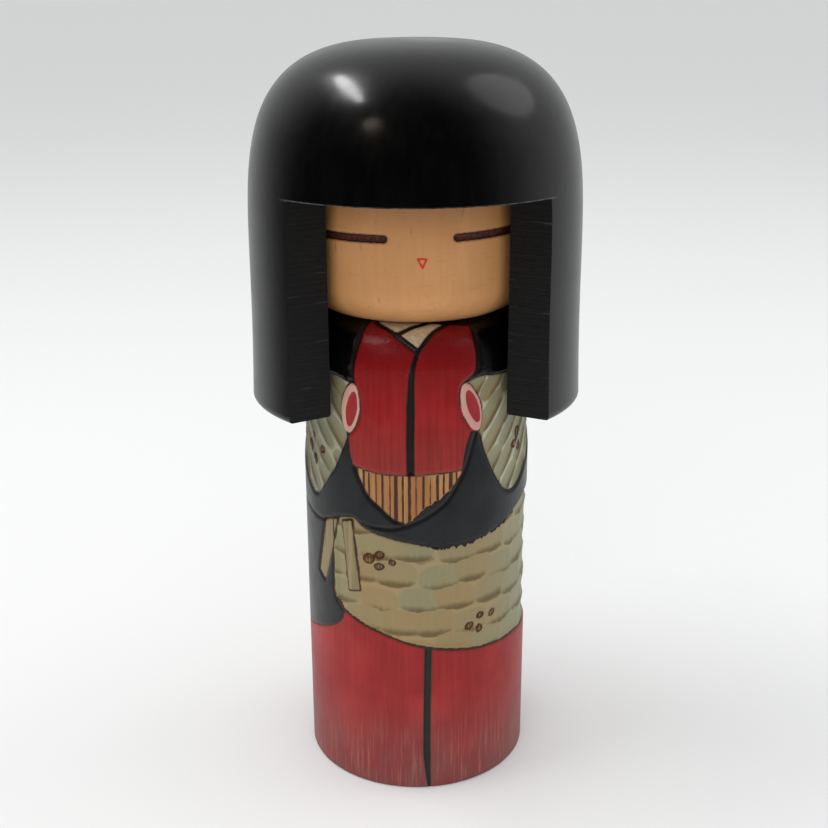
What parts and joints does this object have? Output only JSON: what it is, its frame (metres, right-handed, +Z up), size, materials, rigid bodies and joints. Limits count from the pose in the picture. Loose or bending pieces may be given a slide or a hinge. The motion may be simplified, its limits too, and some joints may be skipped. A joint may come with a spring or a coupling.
{
  "type": "kokeshi doll",
  "caption": "Turned wooden doll: a carved and dyed cylindrical body, and a head that turns on a dowel, with a plain wood face set in a deep black lacquered bob of hair.",
  "frame": {"origin": "centre of the foot of the body, on the surface that the doll stands on", "axes": "+Z up along the axis of the body, -Y the way the face looks, +X to the right of someone who looks at the face"},
  "size_m": [0.0858, 0.0848, 0.193],
  "materials": {
    "dyed_wood": "dyed, gouge-carved and burnt lines, satin wax",
    "plain_wood": "plain turned wood, satin",
    "dowel_wood": "bare turned wood",
    "black_lacquer": "black lacquer, glossy outside, matt on the sawn faces"
  },
  "bodies": {
    "body": {"body": "dyed_wood"},
    "head": {"face_block": "plain_wood", "hair_hood": "black_lacquer", "neck_peg": "dowel_wood"}
  },
  "joints": [
    {"name": "head_turn", "type": "hinge", "parent": "body", "child": "head", "pos_m": [0, 0, 0.1272], "axis": [0, 0, 1], "continuous": true}
  ]
}
